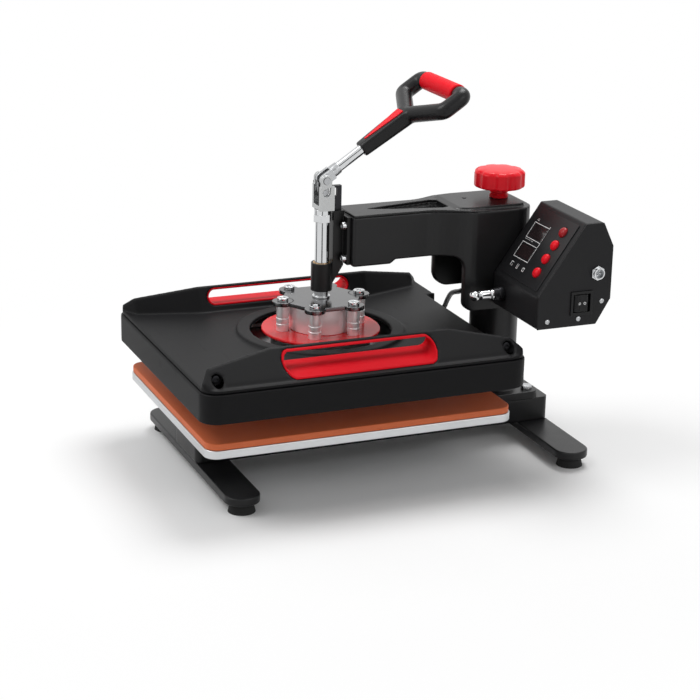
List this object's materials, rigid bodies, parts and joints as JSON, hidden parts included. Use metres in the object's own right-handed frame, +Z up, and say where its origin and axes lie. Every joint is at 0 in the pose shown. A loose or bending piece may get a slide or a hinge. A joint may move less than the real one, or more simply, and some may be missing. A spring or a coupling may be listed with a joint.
{
  "type": "flat heat press",
  "caption": "Swing-away flat heat press: heated platen under a sliding shaft and cranked handle, on an arm with a control box that turns on a column.",
  "frame": {"origin": "on the table, under the middle of the press's plan", "axes": "+Z up, +Y to the rear, +X to the operator's right"},
  "size_m": [0.34, 0.52, 0.4543],
  "materials": {
    "powder_coat": "satin black powder coat",
    "black_rubber": "matt rubber",
    "fastener_steel": "bright zinc",
    "platen_aluminium": "milled",
    "orange_silicone": "silicone foam, fine open cells",
    "bearing_bronze": "turned",
    "tool_steel": "ground",
    "zinc_casting": "polished zinc casting",
    "chrome": "mirror chrome",
    "smoked_plate": "dark polished steel",
    "black_oxide": "black oxide",
    "gloss_red": "gloss enamel",
    "cover_plastic": "fine-grained black moulding",
    "red_plastic": "semi-gloss moulding",
    "dark_red_plastic": "semi-gloss moulding",
    "grip_rubber": "soft-touch red",
    "handle_plastic": "satin black moulding",
    "panel_film": "printed overlay",
    "display_lens": "smoked red lens",
    "circuit_board": "solder mask",
    "element_steel": "oxidised sheath"
  },
  "bodies": {
    "base": {"base_spine": "powder_coat", "front_leg": "powder_coat", "rear_leg": "powder_coat", "rubber_feet": "black_rubber", "base_bolts": "fastener_steel", "support_pedestal": "powder_coat", "lower_platen": "platen_aluminium", "silicone_pad": "orange_silicone", "column": "powder_coat"},
    "arm": {"arm_casting": "powder_coat", "arm_top_cover": "powder_coat", "swing_bushes": "bearing_bronze", "guide_bracket": "powder_coat", "bracket_bolts": "fastener_steel", "guide_bush": "bearing_bronze", "fulcrum_tongue": "black_oxide", "box_shell": "powder_coat", "box_side_cover": "powder_coat", "control_panel": "panel_film", "display_windows": "display_lens", "box_screws": "fastener_steel", "accessory_socket": "chrome", "switch_frame": "handle_plastic", "mains_gland": "handle_plastic", "control_board": "circuit_board", "pin_housing": "black_oxide", "heater_cable": "handle_plastic"},
    "knob": {"pressure_knob": "red_plastic", "pressure_screw": "tool_steel"},
    "pin": {"locking_pin": "chrome"},
    "timer_key": {"timer_button": "dark_red_plastic"},
    "up_key": {"up_button": "red_plastic"},
    "down_key": {"down_button": "red_plastic"},
    "set_key": {"set_button": "red_plastic"},
    "rocker": {"power_rocker": "handle_plastic"},
    "head": {"press_shaft": "chrome", "lock_nut": "chrome", "clevis": "zinc_casting", "pivot_cap": "black_oxide", "hub_nut": "chrome", "hub_plate": "smoked_plate", "hub_drum": "chrome", "standoffs": "chrome", "hub_bolts": "fastener_steel", "pressure_disc": "gloss_red", "pressure_boss": "platen_aluminium", "platen_cover": "cover_plastic", "grip_liners": "red_plastic", "cover_screws": "fastener_steel", "platen_skirt": "cover_plastic", "heated_platen": "platen_aluminium", "heating_element": "element_steel", "cable_gland": "handle_plastic"},
    "handle": {"lever_head": "zinc_casting", "pivot_stubs": "tool_steel", "crank_pin": "tool_steel", "handle_rod": "chrome", "handle_body": "handle_plastic", "grip_sleeve": "grip_rubber", "stem_inlay": "red_plastic"}
  },
  "joints": [
    {"name": "arm_swing", "type": "hinge", "parent": "base", "child": "arm", "pos_m": [0, 0.176, 0], "axis": [0, 0, 1], "range_deg": [-110, 110]},
    {"name": "head_slide", "type": "slide", "parent": "arm", "child": "head", "axis": [0, 0, -1], "range_m": [0, 0.027], "deforming": ["heater_cable"]},
    {"name": "handle_turn", "type": "hinge", "parent": "head", "child": "handle", "pos_m": [0, -0.056, 0.3432], "axis": [1, 0, 0], "range_deg": [0, 150]},
    {"name": "pressure_turn", "type": "hinge", "parent": "arm", "child": "knob", "pos_m": [0, 0.176, 0.308], "axis": [0, 0, 1], "continuous": true},
    {"name": "pin_pull", "type": "slide", "parent": "arm", "child": "pin", "axis": [0, -1, 0], "range_m": [0, 0.006], "stiffness_N_per_m": 800},
    {"name": "timer_press", "type": "slide", "parent": "arm", "child": "timer_key", "axis": [0, 0.8183, -0.5748], "range_m": [0, 0.0015], "stiffness_N_per_m": 600},
    {"name": "up_press", "type": "slide", "parent": "arm", "child": "up_key", "axis": [0, 0.8183, -0.5748], "range_m": [0, 0.0015], "stiffness_N_per_m": 600},
    {"name": "down_press", "type": "slide", "parent": "arm", "child": "down_key", "axis": [0, 0.8183, -0.5748], "range_m": [0, 0.0015], "stiffness_N_per_m": 600},
    {"name": "set_press", "type": "slide", "parent": "arm", "child": "set_key", "axis": [0, 0.8183, -0.5748], "range_m": [0, 0.0015], "stiffness_N_per_m": 600},
    {"name": "power_switch", "type": "hinge", "parent": "arm", "child": "rocker", "pos_m": [0.1524, 0.207, 0.212], "axis": [0, 0, 1], "range_deg": [-7, 7]}
  ],
  "couplings": [
    {"joint": "head_slide", "follows": "handle_turn", "m_per_rad": 0.010313}
  ]
}
